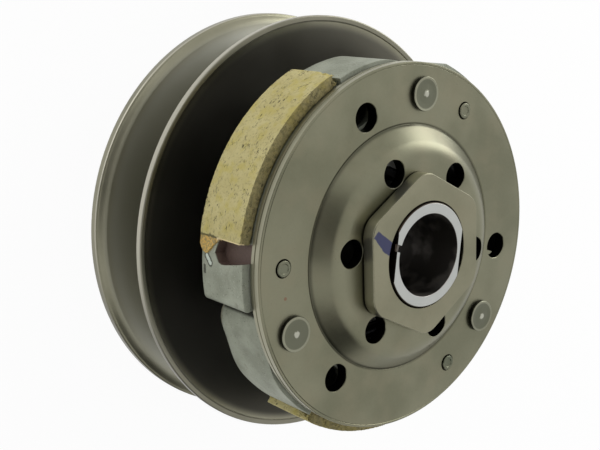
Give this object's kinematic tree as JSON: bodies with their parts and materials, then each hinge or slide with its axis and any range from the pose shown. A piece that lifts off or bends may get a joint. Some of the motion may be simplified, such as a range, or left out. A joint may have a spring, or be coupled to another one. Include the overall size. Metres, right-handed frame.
{
  "type": "centrifugal clutch with driven pulley",
  "caption": "Dry centrifugal clutch on a torque-sensing driven V-belt pulley: curved shoes with friction linings under a dished carrier plate, held by a thin hexagon nut.",
  "frame": {"origin": "centre of the plane of the fixed face's back rim, on the shaft axis", "axes": "+Z along the shaft towards the clutch nut; +X and +Y square to it, with the first shoe's pivot pin 100.8 degrees round from +X"},
  "size_m": [0.12, 0.12, 0.0694],
  "materials": {
    "pulley_fixed": "satin turned steel with a thin oil film",
    "pulley_movable": "satin turned steel with a thin oil film",
    "hub_steel": "ground bright steel",
    "plate": "satin olive-grey pressed steel",
    "nut": "satin zinc-plated steel",
    "pin": "satin steel",
    "zinc": "zinc-plated, satin",
    "spring_steel": "blackened spring steel",
    "bearing_steel": "ground bearing steel",
    "shoe": "rough die casting",
    "lining": "moulded friction material with dark specks",
    "seal_rubber": "matt black",
    "polymer": "matt black nylon"
  },
  "bodies": {
    "sleeve_and_plate": {"fixed_pulley_face": "pulley_fixed", "hub_sleeve": "hub_steel", "bearing_outer_race": "bearing_steel", "circlip": "spring_steel", "needle_shell": "bearing_steel", "guide_pin_1": "bearing_steel", "guide_pin_2": "bearing_steel", "guide_pin_3": "bearing_steel", "spring_seat": "polymer", "main_spring": "spring_steel", "carrier_plate": "plate", "clutch_nut": "nut", "pivot_pin_1": "pin", "pivot_pin_2": "pin", "pivot_pin_3": "pin", "damper_pin_1": "pin", "damper_pin_2": "pin", "damper_pin_3": "pin", "damper_rubber_1": "seal_rubber", "damper_rubber_2": "seal_rubber", "damper_rubber_3": "seal_rubber", "side_plate": "zinc", "e_clip_1": "spring_steel", "e_clip_2": "spring_steel", "e_clip_3": "spring_steel"},
    "collar": {"spring_collar": "zinc"},
    "movable_face": {"movable_pulley_face": "pulley_movable", "movable_hub": "hub_steel", "o_ring_1": "seal_rubber", "o_ring_2": "seal_rubber", "oil_seal_1": "seal_rubber", "oil_seal_2": "seal_rubber"},
    "shoe_arm_1": {"shoe_1": "shoe", "lining_1": "lining", "shoe_spring_2": "spring_steel"},
    "shoe_arm_2": {"shoe_2": "shoe", "lining_2": "lining", "shoe_spring_3": "spring_steel"},
    "shoe_arm_3": {"shoe_3": "shoe", "lining_3": "lining", "shoe_spring_1": "spring_steel"},
    "roller_1": {"guide_roller_1": "bearing_steel"},
    "roller_2": {"guide_roller_2": "bearing_steel"},
    "roller_3": {"guide_roller_3": "bearing_steel"},
    "inner_race": {"bearing_inner_race": "bearing_steel"},
    "ball_cage": {"bearing_balls": "bearing_steel"},
    "needles": {"needle_cage": "bearing_steel"}
  },
  "joints": [
    {"name": "collar_slide", "type": "slide", "parent": "sleeve_and_plate", "child": "collar", "axis": [0, 0, 1], "range_m": [0, 0.0105], "stiffness_N_per_m": 6000, "springref_m": -0.005, "deforming": ["main_spring"]},
    {"name": "face_turn", "type": "hinge", "parent": "collar", "child": "movable_face", "pos_m": [0, 0, 0.025], "axis": [0, 0, 1], "range_deg": [0, 30]},
    {"name": "shoe_pivot_1", "type": "hinge", "parent": "sleeve_and_plate", "child": "shoe_arm_1", "pos_m": [-0.0077, 0.04037, 0.0484], "axis": [0, 0, -1], "range_deg": [0, 3.5], "stiffness_Nm_per_rad": 4, "springref_deg": -1.72, "deforming": ["shoe_spring_2"]},
    {"name": "shoe_pivot_2", "type": "hinge", "parent": "sleeve_and_plate", "child": "shoe_arm_2", "pos_m": [-0.03111, -0.02686, 0.0484], "axis": [0, 0, -1], "range_deg": [0, 3.5], "stiffness_Nm_per_rad": 4, "springref_deg": -1.72, "deforming": ["shoe_spring_3"]},
    {"name": "shoe_pivot_3", "type": "hinge", "parent": "sleeve_and_plate", "child": "shoe_arm_3", "pos_m": [0.03881, -0.01352, 0.0484], "axis": [0, 0, -1], "range_deg": [0, 3.5], "stiffness_Nm_per_rad": 4, "springref_deg": -1.72, "deforming": ["shoe_spring_1"]},
    {"name": "roller_spin_1", "type": "hinge", "parent": "sleeve_and_plate", "child": "roller_1", "pos_m": [0.01544, 0.01333, 0.038], "axis": [0.757, 0.6534, 0], "continuous": true},
    {"name": "roller_spin_2", "type": "hinge", "parent": "sleeve_and_plate", "child": "roller_2", "pos_m": [-0.01927, 0.00671, 0.038], "axis": [-0.9444, 0.3289, 0], "continuous": true},
    {"name": "roller_spin_3", "type": "hinge", "parent": "sleeve_and_plate", "child": "roller_3", "pos_m": [0.00382, -0.02004, 0.038], "axis": [0.1874, -0.9823, 0], "continuous": true},
    {"name": "inner_race_spin", "type": "hinge", "parent": "sleeve_and_plate", "child": "inner_race", "pos_m": [0, 0, 0.0275], "axis": [0, 0, 1], "continuous": true},
    {"name": "ball_cage_spin", "type": "hinge", "parent": "sleeve_and_plate", "child": "ball_cage", "pos_m": [0, 0, 0.0275], "axis": [0, 0, 1], "continuous": true},
    {"name": "needle_cage_spin", "type": "hinge", "parent": "sleeve_and_plate", "child": "needles", "pos_m": [0, 0, 0.0103], "axis": [0, 0, 1], "continuous": true}
  ],
  "couplings": [
    {"joint": "face_turn", "follows": "collar_slide", "rad_per_m": 49.866},
    {"joint": "ball_cage_spin", "follows": "inner_race_spin", "ratio": 0.42}
  ]
}
